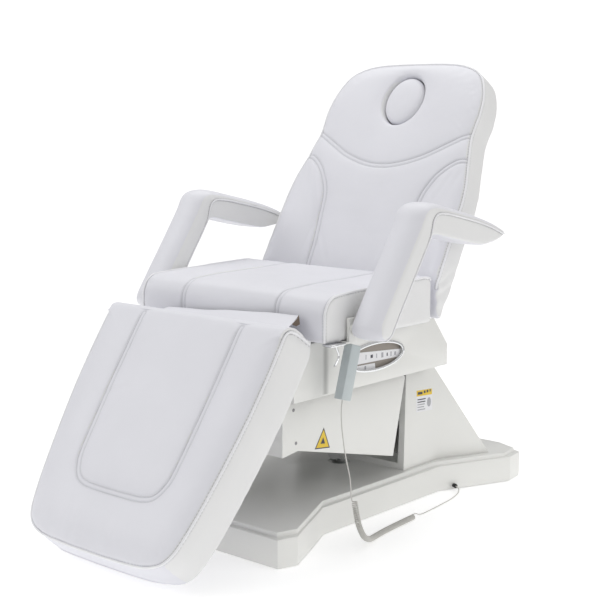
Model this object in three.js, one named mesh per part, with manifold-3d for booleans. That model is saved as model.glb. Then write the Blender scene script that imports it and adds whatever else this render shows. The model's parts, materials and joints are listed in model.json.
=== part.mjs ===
// Motorised facial treatment bed: a seat, backrest and legrest on a parallelogram lift.
// Millimetres, +Z up, +Y towards the head end. Left and right are as seen from the foot end: right is +X.
import * as THREE from 'three';
import { ConvexGeometry } from 'three/addons/geometries/ConvexGeometry.js';
import { mergeVertices } from 'three/addons/utils/BufferGeometryUtils.js';
import Module from 'manifold-3d';

const wasm = await Module();
wasm.setup();

// ---------- driving dimensions ----------
// All places are measured from the floor and from the front edge of the seat.
const ORIGIN_BEHIND_SEAT_FRONT = 223;
const GAP = 0.3;
const SEAT = { halfWidth: 310, length: 428, bottom: 515, top: 625, boardThick: 11.7 };
const BACK = { y: 440, z: 600, slope: 60, cushionThick: 80, boardThick: 12 };
const LEG = { y: -125, z: 547, slope: 55.5, cushionThick: 92, boardThick: 12 };
const LEG_HINGE = { y: 0, z: 500 };
const BACK_HINGE = { y: 512, z: 515 };
const ARM_HINGE = { y: 86, z: 535 };
const TOWER_PIVOT = { y: 511, z: 213 };
const LIFT_ARM = { length: 420.2, rise: 12, halfHeight: 24 };
const TIE_OFFSET = 55;
const LIFT_FOOT = { y: 450, z: 55 };
const LIFT_TOP = { y: 300, z: 272 };
const BASE = { height: 83, wall: 4, clearance: 1, chamfer: 12 };
const SHROUD = { halfWidth: 250, front: -38, rear: 583, bottom: 363, top: 495.5, wall: 4 };
const RAIL = { inner: 184, outer: 224, bottom: 465, top: 496 };
const SHAFT_R = 10;
const PIVOT_SHAFT_R = 12;
const HOLE_CLEARANCE = 0.6;
const BACK_LEVER = { length: 85, angle: 22.5, x: 60 };
const LEG_LEVER = { length: 75, angle: 27.5, x: -60 };
const ARM_PAD = { inner: 323, outer: 420, strutHalf: 32, padHalf: 26, endHalf: 22 };
const HANDSET = { x: 310, y: 66, z: 364, tilt: 17, length: 132, width: 36, thick: 24 };
const WINDOW = { y: 270, z: 431, halfLength: 112, halfHeight: 33 };
const CORD_R = 1.5;
const COIL_R = 7.5;

// ---------- materials ----------
const paint = (color, roughness, metalness) =>
  new THREE.MeshStandardMaterial({ color, roughness, metalness });
const UPHOLSTERY = paint(0xe6e5ea, 0.5, 0);
const BOARD = paint(0xd4d4d4, 0.8, 0);
const MOULDING = paint(0xe9e9e4, 0.35, 0);
const STEEL = paint(0xc9ccce, 0.45, 0.6);
const CHROME = paint(0xdfe2e4, 0.12, 1);
const RUBBER = paint(0x1c1c1e, 0.8, 0);
const HANDSET_GREY = paint(0xbcc4c6, 0.4, 0);
const CORD_GREY = paint(0xd7d7d2, 0.5, 0);

// ---------- helpers ----------
const bed = new THREE.Group();
bed.position.y = -ORIGIN_BEHIND_SEAT_FRONT;

function add(name, geometry, material, parent = bed) {
  const mesh = new THREE.Mesh(geometry, material);
  mesh.name = name;
  parent.add(mesh);
  return mesh;
}

function toSolid(geometry) {
  const bare = geometry.clone();
  bare.deleteAttribute('normal');
  bare.deleteAttribute('uv');
  const merged = mergeVertices(bare, 1e-3);
  return new wasm.Manifold(new wasm.Mesh({
    numProp: 3,
    vertProperties: Float32Array.from(merged.attributes.position.array),
    triVerts: Uint32Array.from(merged.index.array),
  }));
}

function toGeometry(solid) {
  const mesh = solid.getMesh();
  const geometry = new THREE.BufferGeometry();
  geometry.setAttribute('position', new THREE.BufferAttribute(mesh.vertProperties, 3));
  geometry.setIndex(new THREE.BufferAttribute(mesh.triVerts, 1));
  return geometry;
}

function join(...geometries) {
  return toGeometry(geometries.map(toSolid).reduce((whole, next) => whole.add(next)));
}

function cut(geometry, ...tools) {
  return toGeometry(tools.map(toSolid).reduce((left, tool) => left.subtract(tool), toSolid(geometry)));
}

function common(a, b) {
  return toGeometry(toSolid(a).intersect(toSolid(b)));
}

function box(x0, x1, y0, y1, z0, z1) {
  const geometry = new THREE.BoxGeometry(x1 - x0, y1 - y0, z1 - z0);
  return geometry.translate((x0 + x1) / 2, (y0 + y1) / 2, (z0 + z1) / 2);
}

// A cylinder along X between x0 and x1, on the axis through (y, z).
function rodX(radius, x0, x1, { y, z }, sides = 20) {
  const geometry = new THREE.CylinderGeometry(radius, radius, x1 - x0, sides);
  return geometry.rotateZ(Math.PI / 2).translate((x0 + x1) / 2, y, z);
}

// A cylinder along Y between y0 and y1.
function rodY(radius, x, y0, y1, z, sides = 20) {
  const geometry = new THREE.CylinderGeometry(radius, radius, y1 - y0, sides);
  return geometry.translate(x, (y0 + y1) / 2, z);
}

const EXTRUDE_X = new THREE.Matrix4().makeBasis(
  new THREE.Vector3(0, 1, 0),
  new THREE.Vector3(0, 0, 1),
  new THREE.Vector3(1, 0, 0),
);

// A side-view outline, drawn in Y and Z, given the width x0 to x1.
function sidePlate(outline, x0, x1, curveSegments = 8) {
  const shape = outline instanceof THREE.Shape ? outline : polygon(outline);
  const geometry = new THREE.ExtrudeGeometry(shape, { depth: x1 - x0, bevelEnabled: false, curveSegments });
  return geometry.applyMatrix4(EXTRUDE_X).translate(x0, 0, 0);
}

// A plan-view outline, drawn in X and Y, given the height z0 to z1.
function planPlate(outline, z0, z1, curveSegments = 8) {
  const shape = outline instanceof THREE.Shape ? outline : polygon(outline);
  const geometry = new THREE.ExtrudeGeometry(shape, { depth: z1 - z0, bevelEnabled: false, curveSegments });
  return geometry.translate(0, 0, z0);
}

function polygon(points) {
  return new THREE.Shape(points.map(([a, b]) => new THREE.Vector2(a, b)));
}

function roundHole(shape, { y, z }, radius) {
  const hole = new THREE.Path();
  hole.absarc(y, z, radius, 0, 2 * Math.PI, true);
  shape.holes.push(hole);
  return shape;
}

// The outline of a plate stretched round several circles, each { y, z, r }.
function plateAround(circles, steps = 12) {
  const points = [];
  for (const { y, z, r } of circles) {
    for (let i = 0; i < steps; i += 1) {
      const angle = (2 * Math.PI * i) / steps;
      points.push([y + r * Math.cos(angle), z + r * Math.sin(angle)]);
    }
  }
  points.sort((a, b) => a[0] - b[0] || a[1] - b[1]);
  const turn = (o, a, b) => (a[0] - o[0]) * (b[1] - o[1]) - (a[1] - o[1]) * (b[0] - o[0]);
  const half = (list) => {
    const chain = [];
    for (const point of list) {
      while (chain.length > 1 && turn(chain.at(-2), chain.at(-1), point) <= 1e-6) chain.pop();
      chain.push(point);
    }
    return chain.slice(0, -1);
  };
  return polygon([...half(points), ...half([...points].reverse())]);
}

const radians = THREE.MathUtils.degToRad;

function mirrorX(points) {
  return [...points, ...points.map(([x, y]) => [-x, y]).reverse()];
}

// A tube of the given radius along a smooth route of [x, y, z] points.
function tube(route, radius, steps, sides = 8) {
  const curve = new THREE.CatmullRomCurve3(route.map((p) => new THREE.Vector3(...p)), false, 'centripetal');
  const section = new THREE.Shape();
  for (let i = 0; i < sides; i += 1) {
    const angle = (2 * Math.PI * i) / sides;
    const [a, b] = [radius * Math.cos(angle), radius * Math.sin(angle)];
    if (i === 0) section.moveTo(a, b);
    else section.lineTo(a, b);
  }
  return new THREE.ExtrudeGeometry(section, { steps, extrudePath: curve, bevelEnabled: false });
}

// A point of the sloping backrest or legrest: v up its face, w behind its face.
function onPanel(panel, v, w, r = 0) {
  const slope = radians(panel.slope);
  return {
    y: panel.y + v * Math.cos(slope) + w * Math.sin(slope),
    z: panel.z + v * Math.sin(slope) - w * Math.cos(slope),
    r,
  };
}

function panelGroup(panel) {
  const group = new THREE.Group();
  group.position.set(0, panel.y, panel.z);
  group.rotation.x = radians(panel.slope);
  bed.add(group);
  return group;
}

const towerPivot2 = { y: TOWER_PIVOT.y, z: TOWER_PIVOT.z + TIE_OFFSET };
const seatPivot = {
  y: TOWER_PIVOT.y - LIFT_ARM.length * Math.cos(radians(LIFT_ARM.rise)),
  z: TOWER_PIVOT.z + LIFT_ARM.length * Math.sin(radians(LIFT_ARM.rise)),
};
const seatPivot2 = { y: seatPivot.y, z: seatPivot.z + TIE_OFFSET };

// ---------- base ----------
// Plan outline of the right half, from the foot end to the head end.
const BASE_OUTLINE = [
  [290, -140], [306, -88], [214, 112], [219, 606], [312, 815], [302, 880], [238, 905],
];

function baseBlock(scaleX, scaleY, height, chamfer) {
  const middle = 380;
  const points = BASE_OUTLINE.map(([x, y]) => [x * scaleX, middle + (y - middle) * scaleY]);
  const shrink = (list) => list.map(([x, y]) => [x - Math.sign(x) * chamfer, y - Math.sign(y - middle) * chamfer]);
  const lower = planPlate(mirrorX(points), BASE.clearance, height - chamfer);
  const upper = planPlate(mirrorX(shrink(points)), height - chamfer - 1, height);
  return join(lower, upper);
}

function buildBase() {
  add('base_plate', box(-170, 170, -90, 850, 8 + GAP, 18), STEEL);
  const feet = [[-140, -60], [140, -60], [-140, 820], [140, 820]];
  const names = ['front_left', 'front_right', 'rear_left', 'rear_right'];
  feet.forEach(([x, y], i) => {
    const foot = new THREE.CylinderGeometry(24, 27, 8, 16).rotateX(Math.PI / 2);
    add(`foot_${names[i]}`, foot.translate(x, y, 4), RUBBER);
  });

  const deckHole = new THREE.CylinderGeometry(30, 30, 40, 20).rotateX(Math.PI / 2);
  const shell = cut(
    baseBlock(1, 1, BASE.height, BASE.chamfer),
    baseBlock(0.984, 0.991, BASE.height - BASE.wall, BASE.chamfer).translate(0, 0, -BASE.clearance),
    box(-190, 190, 479, 612, BASE.height - 10, BASE.height + 10),
    deckHole.translate(0, LIFT_FOOT.y - 16, BASE.height),
  );
  add('base_cover', shell, MOULDING);
  add('mains_inlet', box(-24, 24, 905 + GAP, 911, 26, 54), RUBBER);

  const clevis = [-1, 1].map((side) => {
    const [x0, x1] = side < 0 ? [-24, -18] : [18, 24];
    return box(x0, x1, LIFT_FOOT.y - 16, LIFT_FOOT.y + 16, 18 + GAP, LIFT_FOOT.z + 13);
  });
  add('actuator_clevis', join(...clevis, rodX(6, -23, 23, LIFT_FOOT, 14),
    box(-24, 24, LIFT_FOOT.y - 16, LIFT_FOOT.y + 16, 18 + GAP, 24)), STEEL);
}

// The tower's moulded cover, as two convex blocks: a straight front and a flared rear.
function towerBlock(inset, top, bottom) {
  const side = 194 - inset;
  const corners = (list) => new ConvexGeometry(
    list.flatMap(([x, y, z]) => [new THREE.Vector3(x, y, z), new THREE.Vector3(-x, y, z)]),
  );
  const front = corners([
    [side, 470 + inset, bottom], [side, 631, bottom], [side - 6, 484 + inset, top], [side - 6, 606 - inset, top],
  ]);
  const rear = corners([
    [side, 628, bottom], [side - 6, 600 - inset, top], [side - 6, 606 - inset, top],
    [264 - inset, 776 - inset, bottom], [205 - inset, 838 - inset, bottom],
  ]);
  return join(front, rear);
}

function buildTower() {
  const hole = PIVOT_SHAFT_R + HOLE_CLEARANCE;
  for (const [name, x0] of [['left', -183], ['right', 175]]) {
    const outline = polygon([[484, 18 + GAP], [600, 18 + GAP], [590, 328], [490, 328]]);
    roundHole(roundHole(outline, TOWER_PIVOT, hole), towerPivot2, hole);
    add(`tower_plate_${name}`, sidePlate(outline, x0, x0 + 8, 10), STEEL);
  }
  add('tower_lower_shaft', rodX(PIVOT_SHAFT_R, -184.5, 184.5, TOWER_PIVOT), CHROME);
  add('tower_upper_shaft', rodX(PIVOT_SHAFT_R, -184.5, 184.5, towerPivot2), CHROME);
  const low = BASE.height + GAP;
  const cover = cut(towerBlock(0, 350, low), towerBlock(4, 346, low - 1), box(-173, 173, 400, 492, 100, 345));
  add('tower_cover', cover, MOULDING);
}

// ---------- lift ----------
function buildLift() {
  const hole = PIVOT_SHAFT_R + HOLE_CLEARANCE;
  const r = LIFT_ARM.halfHeight;
  const link = (a, b, radius) => {
    const shape = plateAround([{ ...a, r: radius }, { ...b, r: radius }]);
    return roundHole(roundHole(shape, a, hole), b, hole);
  };
  const bar = (x0, x1) => sidePlate(link(TOWER_PIVOT, seatPivot, r), x0, x1, 10);
  const tie = (x0, x1) => sidePlate(link(towerPivot2, seatPivot2, 18), x0, x1, 10);
  const crossTube = rodX(16, -132, 132, { y: 175, z: 284 });
  add('lift_arm_frame', join(bar(-145, -130), bar(130, 145), crossTube, rodX(SHAFT_R, -132, 132, LIFT_TOP)), STEEL);
  const share = 0.72;
  const tieMiddle = {
    y: towerPivot2.y + share * (seatPivot2.y - towerPivot2.y),
    z: towerPivot2.z + share * (seatPivot2.z - towerPivot2.z),
  };
  add('tie_frame', join(tie(-165, -155), tie(155, 165), rodX(8, -157, 157, tieMiddle, 14)), STEEL);

  const side = [[-33, 225], [22, 232], [400, 141], [449, 344], [440, 350], [60, 356], [-33, 354]];
  const cover = join(
    sidePlate(side, 206, 210),
    sidePlate(side, -210, -206),
    box(-208, 208, -33, -29, 225.5, 345),
  );
  add('lift_arm_cover', cover, MOULDING);
}

// The lift actuator stands between the base and the lift arms; t runs up from its foot.
function buildLiftActuator() {
  const along = new THREE.Vector2(LIFT_TOP.y - LIFT_FOOT.y, LIFT_TOP.z - LIFT_FOOT.z);
  const length = along.length();
  const actuator = new THREE.Group();
  actuator.position.set(0, LIFT_FOOT.y, LIFT_FOOT.z);
  actuator.rotation.x = -Math.atan2(along.x, along.y);
  bed.add(actuator);
  const column = (radius, t0, t1, sides = 20) =>
    new THREE.CylinderGeometry(radius, radius, t1 - t0, sides).rotateX(Math.PI / 2).translate(0, 0, (t0 + t1) / 2);
  const body = cut(
    column(28, 125, length + 24),
    column(16.8, 100, 246),
    rodX(SHAFT_R + HOLE_CLEARANCE, -40, 40, { y: 0, z: length }),
  );
  add('lift_actuator_body', body, RUBBER, actuator);
  add('lift_actuator_rod', cut(column(16, -18, 238), rodX(11, -30, 30, { y: 0, z: 0 }, 18)), CHROME, actuator);
}

// ---------- seat carriage ----------
function buildCarriage() {
  const rail = polygon([
    [-16, 484], [10, RAIL.bottom], [530, RAIL.bottom], [532, 515], [524, 531], [500, 531], [492, 515],
    [490, RAIL.top], [17, RAIL.top], [16, 508], [8, 515], [-8, 515], [-16, 508],
  ]);
  roundHole(roundHole(rail, LEG_HINGE, SHAFT_R + HOLE_CLEARANCE), BACK_HINGE, SHAFT_R + HOLE_CLEARANCE);
  for (const [name, side] of [['left', -1], ['right', 1]]) {
    const [x0, x1] = side < 0 ? [-RAIL.outer, -RAIL.inner] : [RAIL.inner, RAIL.outer];
    const hole = PIVOT_SHAFT_R + HOLE_CLEARANCE;
    const bracket = polygon([[70, 290], [85, 276], [115, 276], [130, 290], [130, RAIL.top], [70, RAIL.top]]);
    roundHole(roundHole(bracket, seatPivot, hole), seatPivot2, hole);
    const plate = side < 0 ? [-RAIL.inner - 1, -175] : [175, RAIL.inner + 1];
    add(`seat_rail_${name}`, join(sidePlate(rail, x0, x1, 10), sidePlate(bracket, ...plate, 10)), STEEL);
    buildArmBracket(name, side);
  }
  const inner = 175 - GAP;
  add('seat_cross_front', box(-inner, inner, 80, 110, RAIL.bottom, RAIL.top), STEEL);
  add('seat_cross_rear', box(-RAIL.inner + GAP, RAIL.inner - GAP, 385, 415, RAIL.bottom, RAIL.top), STEEL);
  add('seat_lower_shaft', rodX(PIVOT_SHAFT_R, -184, 184, seatPivot), CHROME);
  add('seat_upper_shaft', rodX(PIVOT_SHAFT_R, -184, 184, seatPivot2), CHROME);
  add('leg_hinge_shaft', rodX(SHAFT_R, -236, 236, LEG_HINGE), CHROME);
  add('back_hinge_shaft', rodX(SHAFT_R, -236, 236, BACK_HINGE), CHROME);
  const boardTop = SEAT.bottom - GAP;
  add('seat_board', box(-300, 300, 20, 425, boardTop - SEAT.boardThick, boardTop), BOARD);
  const radius = 24;
  const half = SEAT.halfWidth;
  const sideView = new THREE.Shape();
  sideView.moveTo(0, SEAT.bottom);
  sideView.lineTo(SEAT.length, SEAT.bottom);
  sideView.lineTo(SEAT.length, SEAT.top);
  sideView.lineTo(radius, SEAT.top);
  sideView.quadraticCurveTo(0, SEAT.top, 0, SEAT.top - radius);
  add('seat_cushion', sidePlate(sideView, -half, half, 4), UPHOLSTERY);
}

function buildArmBracket(name, side) {
  const across = (x0, x1) => side > 0 ? [x0, x1] : [-x1, -x0];
  const { y, z } = ARM_HINGE;
  const plate = box(...across(190, 321.5), y - 20, y + 20, RAIL.top + 1, RAIL.top + 6);
  const upright = box(...across(313.5, 321.5), y - 10, y + 20, RAIL.top + 1, z + 22);
  const pin = rodX(8, ...across(318, 345), ARM_HINGE);
  add(`arm_bracket_${name}`, join(plate, upright, pin), STEEL);
}

function buildShroud() {
  const { halfWidth, front, rear, bottom, top, wall } = SHROUD;
  const ring = cut(
    box(-halfWidth, halfWidth, front, rear, bottom, top),
    box(-halfWidth + wall, halfWidth - wall, front + wall, rear - wall, bottom - 1, top + 1),
    sidePlate([[rear + 5, 412], [rear + 5, top + 5], [516, top + 5]], -halfWidth - 1, halfWidth + 1),
    box(-halfWidth - 1, halfWidth + 1, front - 1, front + wall + 8, 410, top + 1),
    box(-120, 120, front - 1, front + wall + 1, 390, top + 1),
    box(-120, 120, rear - 90, rear + 1, 400, top + 1),
    sidePlate(ellipse(WINDOW.halfLength, WINDOW.halfHeight), halfWidth - wall - 1, halfWidth + 1, 14),
  );
  add('seat_shroud', ring, MOULDING);
  const bezel = ellipse(WINDOW.halfLength + 5, WINDOW.halfHeight + 5);
  bezel.holes.push(new THREE.Path(ellipse(WINDOW.halfLength - 3, WINDOW.halfHeight - 3).getPoints(14)));
  add('window_bezel', sidePlate(bezel, halfWidth + GAP, halfWidth + 4, 14), CHROME);
}

function ellipse(halfLength, halfHeight) {
  const shape = new THREE.Shape();
  shape.absellipse(WINDOW.y, WINDOW.z, halfLength, halfHeight, 0, 2 * Math.PI);
  return shape;
}

// A motor body with a rod that slides along Y, ending in a fork with an upright slot.
// forward is +1 where the rod reaches towards the head end, and -1 towards the foot end.
function buildDrive(name, lever, hinge, axisZ, forward, bodySpan, boreSpan, rodEnd, slotHalf) {
  const angle = radians(lever.angle);
  const pin = { y: hinge.y + lever.length * Math.sin(angle), z: hinge.z - lever.length * Math.cos(angle) };
  const { x } = lever;
  const body = cut(rodY(26, x, ...bodySpan, axisZ), rodY(SHAFT_R + HOLE_CLEARANCE, x, ...boreSpan, axisZ));
  add(`${name}_actuator_body`, body, RUBBER);
  const web = [pin.y - forward * 46, pin.y - forward * 34].sort((a, b) => a - b);
  const reach = [pin.y - forward * 46, pin.y + forward * 16].sort((a, b) => a - b);
  const tall = slotHalf + 8;
  const slot = polygon([
    [reach[0], axisZ - tall], [reach[1], axisZ - tall], [reach[1], axisZ + tall], [reach[0], axisZ + tall],
  ]);
  const wide = 9;
  slot.holes.push(new THREE.Path([
    new THREE.Vector2(pin.y - wide, axisZ - slotHalf), new THREE.Vector2(pin.y - wide, axisZ + slotHalf),
    new THREE.Vector2(pin.y + wide, axisZ + slotHalf), new THREE.Vector2(pin.y + wide, axisZ - slotHalf),
  ]));
  const rodSpan = [rodEnd, pin.y - forward * 40].sort((a, b) => a - b);
  const fork = join(
    sidePlate(slot, x - 15, x - 9.5),
    sidePlate(slot, x + 9.5, x + 15),
    box(x - 15, x + 15, ...web, axisZ - tall, axisZ + tall),
    rodY(SHAFT_R, x, ...rodSpan, axisZ),
  );
  add(`${name}_actuator_rod`, fork, CHROME);
  return pin;
}

// Steel plates that carry a panel on its hinge shaft, and the lever that its actuator moves.
// far and near are the ends of the strips that lie along the panel's board.
function buildPanelSteel(name, panel, hinge, lever, pin, far, near) {
  const behind = panel.cushionThick + panel.boardThick + 9;
  const hole = SHAFT_R + HOLE_CLEARANCE;
  const lug = { ...hinge, r: 14 };
  const plate = (x0, x1, reach) => join(
    sidePlate(plateAround([onPanel(panel, reach, behind, 8), onPanel(panel, near, behind, 8)]), x0, x1),
    sidePlate(plateAround([onPanel(panel, near, behind, 8), lug]), x0, x1),
  );
  const bore = rodX(hole, -300, 300, hinge);
  add(`${name}_bracket_left`, cut(plate(-234, -226, far), bore), STEEL);
  add(`${name}_bracket_right`, cut(plate(226, 234, far), bore), STEEL);
  const { x } = lever;
  const arm = sidePlate(plateAround([lug, { ...pin, r: 12 }]), x - 8, x + 8);
  const bellCrank = cut(join(plate(x - 8, x + 8, far / 3), arm), bore);
  add(`${name}_lever`, join(bellCrank, rodX(6, x - 15, x + 15, pin, 14)), STEEL);
}

// ---------- backrest ----------
// Half outline of the backrest's face: half width at each height v up the face.
const BACK_OUTLINE = [
  [306, -70], [308, 60], [303, 250], [284, 345], [266, 430], [268, 500], [258, 560], [226, 620], [165, 655], [90, 662],
];
const FACE_HOLE = { v: 538, halfWidth: 64, halfHeight: 76 };

function faceOval(grow) {
  const oval = new THREE.Path();
  oval.absellipse(0, FACE_HOLE.v, FACE_HOLE.halfWidth + grow, FACE_HOLE.halfHeight + grow, 0, 2 * Math.PI, true);
  return oval;
}

function buildBack() {
  const group = panelGroup(BACK);
  const outline = polygon(mirrorX(BACK_OUTLINE));
  outline.holes.push(faceOval(0));
  const slab = planPlate(outline, -BACK.cushionThick, 0, 10);
  // Seen from the side, the foot of the backrest is cut to stand clear of the seat.
  const sideView = [[23, 1], [-66, -55], [-45, -81], [648, -81], [663, -60], [663, 1]];
  add('back_cushion', common(slab, sidePlate(sideView, -320, 320)), UPHOLSTERY, group);
  const board = polygon(mirrorX([
    [290, 14], [292, 240], [272, 345], [252, 430], [252, 500], [240, 565], [205, 612], [150, 636], [90, 640],
  ]));
  board.holes.push(faceOval(3));
  const behind = -BACK.cushionThick - GAP;
  add('back_board', planPlate(board, behind - BACK.boardThick, behind, 10), BOARD, group);
  const plug = new THREE.Shape();
  plug.absellipse(0, FACE_HOLE.v, FACE_HOLE.halfWidth - 2, FACE_HOLE.halfHeight - 2, 0, 2 * Math.PI);
  add('face_hole_plug', planPlate(plug, -BACK.cushionThick, -8, 10), UPHOLSTERY, group);
  const pin = buildDrive('back', BACK_LEVER, BACK_HINGE, 437, 1, [140, 360], [165, 370], 260, 19);
  buildPanelSteel('back', BACK, BACK_HINGE, BACK_LEVER, pin, 330, 14);
}

// ---------- legrest ----------
const LEG_OUTLINE = [
  [308, 24], [310, -120], [305, -230], [289, -380], [271, -490], [250, -550], [205, -586], [125, -600],
];

function buildLeg() {
  const group = panelGroup(LEG);
  const slab = planPlate(mirrorX(LEG_OUTLINE), -LEG.cushionThick, 0, 10);
  const sideView = [[10, -93], [24, -70], [21, -44], [6, -14], [-22, 1], [-601, 1], [-601, -52], [-568, -93]];
  add('leg_cushion', common(slab, sidePlate(sideView, -320, 320)), UPHOLSTERY, group);
  const behind = -LEG.cushionThick - GAP;
  const board = mirrorX([[292, 0], [294, -120], [286, -240], [266, -380], [244, -480], [216, -530], [120, -560]]);
  add('leg_board', planPlate(board, behind - LEG.boardThick, behind, 10), BOARD, group);
  const pin = buildDrive('leg', LEG_LEVER, LEG_HINGE, 429, -1, [130, 350], [120, 250], 230, 13);
  buildPanelSteel('leg', LEG, LEG_HINGE, LEG_LEVER, pin, -180, -12);
}

// ---------- armrests ----------
// Each armrest is a strut that leans back and a pad that slopes down towards the head end.
const ARM_KNEE = { y: 262, z: 788 };
const ARM_END = { y: 578, z: 706 };

function buildArms() {
  for (const [name, side] of [['left', -1], ['right', 1]]) {
    const [x0, x1] = side < 0 ? [-ARM_PAD.outer, -ARM_PAD.inner] : [ARM_PAD.inner, ARM_PAD.outer];
    const strutOutline = plateAround([
      { ...ARM_HINGE, r: ARM_PAD.strutHalf + 2 }, { ...ARM_KNEE, r: ARM_PAD.padHalf },
    ], 16);
    const socket = rodX(8.6, ARM_PAD.inner - 5, 347, ARM_HINGE);
    if (side < 0) socket.translate(-ARM_PAD.inner - 342, 0, 0);
    add(`arm_strut_${name}`, cut(sidePlate(strutOutline, x0, x1), socket), UPHOLSTERY);
    const padOutline = plateAround([
      { y: ARM_KNEE.y + 54, z: ARM_KNEE.z - 11, r: ARM_PAD.padHalf }, { ...ARM_END, r: ARM_PAD.endHalf },
    ], 16);
    const strutShadow = plateAround([
      { ...ARM_HINGE, r: ARM_PAD.strutHalf + 2 + GAP }, { ...ARM_KNEE, r: ARM_PAD.padHalf + GAP },
    ], 16);
    const bridge = plateAround([
      { y: ARM_KNEE.y + 10, z: ARM_KNEE.z - 3, r: 22 }, { ...ARM_END, r: ARM_PAD.endHalf },
    ], 16);
    const pad = cut(join(sidePlate(padOutline, x0, x1), sidePlate(bridge, x0, x1)), sidePlate(strutShadow, x0 - 1, x1 + 1));
    add(`arm_pad_${name}`, pad, UPHOLSTERY);
  }
}

// ---------- handset, its hook and its cord ----------
function buildHandset() {
  const group = new THREE.Group();
  group.position.set(HANDSET.x, HANDSET.y, HANDSET.z);
  group.rotation.x = -radians(HANDSET.tilt);
  bed.add(group);
  const halfThick = HANDSET.thick / 2;
  const halfWidth = HANDSET.width / 2;
  const key = { halfWidth: 11, halfHeight: 11, proud: 2.5, deep: 3, clearance: 0.6, travel: 1.6 };
  const rows = [['back', 104], ['leg', 76], ['lift', 48]];
  const face = -halfThick;
  const pockets = rows.map(([, z]) => box(
    face - 1, face + key.deep + key.travel,
    -key.halfWidth - key.clearance, key.halfWidth + key.clearance,
    z - key.halfHeight - key.clearance, z + key.halfHeight + key.clearance,
  ));
  const shell = box(-halfThick, halfThick, -halfWidth, halfWidth, 0, HANDSET.length);
  add('handset_case', cut(shell, ...pockets), HANDSET_GREY, group);
  for (const [name, z] of rows) {
    const rocker = box(
      face - key.proud, face + key.deep, -key.halfWidth, key.halfWidth, z - key.halfHeight, z + key.halfHeight,
    );
    add(`rocker_${name}`, rocker, CORD_GREY, group);
  }
  const plate = box(296, 324, 8, 60, RAIL.top + 1, RAIL.top + 6);
  const wire = tube([[310, 38, RAIL.top + 2], [310, 46, 484], [310, 52, 470], [310, 44, 456], [310, 36, 448]], 2.5, 16);
  add('handset_hook', join(plate, wire), CHROME);
}

// Route of the handset's lead: straight down, then a coiled stretch that reaches the floor, then a plain tail.
const LEAD_ROUTE = [
  [310, 66, 363.6], [310.5, 62, 340], [313, 61, 300], [319, 65, 240], [331, 69, 180], [343, 70, 136],
];
const COIL_ROUTE = [
  [343.1, 70, 135.6], [349, 69, 108], [353, 76, 68], [350, 100, 32], [340, 135, 13.5], [328, 178, 8.6],
  [320, 230, 8.1], [314, 300, 8.1], [309, 368, 8.1],
];
const TAIL_ROUTE = [
  [309, 368.5, 8.1], [306, 390, 5.4], [301, 430, 2.4], [294, 500, 2.2], [285, 565, 2.2], [274, 612, 5],
  [259.8, 634.7, 10.6], [247.9, 640, 12],
];

function buildCord() {
  add('handset_lead', tube(LEAD_ROUTE, CORD_R, 24), CORD_GREY);
  add('handset_coil', tube(COIL_ROUTE, COIL_R, 26, 10), CORD_GREY);
  add('handset_tail', tube(TAIL_ROUTE, CORD_R, 24), CORD_GREY);
  // The gland stands square to the base's flared side wall.
  const wall = new THREE.Vector2(312 - 219, 815 - 606).normalize();
  const gland = new THREE.CylinderGeometry(6, 6, 10, 12).rotateZ(Math.PI / 2).rotateZ(Math.atan2(-wall.x, wall.y));
  const reach = 5.6;
  add('cord_gland', gland.translate(237.8 + reach * wall.y, 644.5 - reach * wall.x, 12), RUBBER);
}

buildBase();
buildTower();
buildLift();
buildLiftActuator();
buildCarriage();
buildShroud();
buildBack();
buildLeg();
buildArms();
buildHandset();
buildCord();

export default bed;
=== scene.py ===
"""Looks of a motorised facial treatment bed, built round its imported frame.

The scene is in metres, +Z up and +Y to the head end. Shapes are given in millimetres, from the seat's
front edge and the floor or on a panel's own axes.
"""
import json
import math

import bmesh
import bpy
import numpy as np
from mathutils import Matrix, Vector, noise
from mathutils.bvhtree import BVHTree
from mathutils.kdtree import KDTree


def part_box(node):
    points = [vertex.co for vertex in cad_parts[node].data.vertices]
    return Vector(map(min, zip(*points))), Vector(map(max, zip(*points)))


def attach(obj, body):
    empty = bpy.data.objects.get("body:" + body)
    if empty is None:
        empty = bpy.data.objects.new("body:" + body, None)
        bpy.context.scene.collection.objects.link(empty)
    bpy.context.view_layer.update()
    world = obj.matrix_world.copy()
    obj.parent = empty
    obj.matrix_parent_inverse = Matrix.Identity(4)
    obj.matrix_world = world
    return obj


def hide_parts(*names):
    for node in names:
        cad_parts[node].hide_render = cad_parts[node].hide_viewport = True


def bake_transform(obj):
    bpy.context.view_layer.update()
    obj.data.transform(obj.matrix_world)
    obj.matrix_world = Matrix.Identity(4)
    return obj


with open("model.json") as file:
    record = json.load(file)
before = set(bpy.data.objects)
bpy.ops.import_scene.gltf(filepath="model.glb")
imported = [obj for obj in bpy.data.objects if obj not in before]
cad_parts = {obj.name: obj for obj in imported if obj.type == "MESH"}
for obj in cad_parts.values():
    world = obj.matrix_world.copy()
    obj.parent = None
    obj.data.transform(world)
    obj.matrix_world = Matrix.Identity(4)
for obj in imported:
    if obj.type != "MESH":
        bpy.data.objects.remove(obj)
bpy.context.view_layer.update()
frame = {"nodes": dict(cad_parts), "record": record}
BODIES = frame["record"]["behaviour"]["bodies"]
BODY_OF = {node: body for body, nodes in BODIES.items() for node in nodes}
MM = 0.001
# How far a rigid piece's faces may turn before their edge is rounded, in degrees.
SHARP_ANGLE = 30
SEAT_LOW, SEAT_HIGH = (Vector(corner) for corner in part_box("seat_cushion"))
FRONT = SEAT_LOW.y
SEAT_HALF = SEAT_HIGH.x


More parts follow.
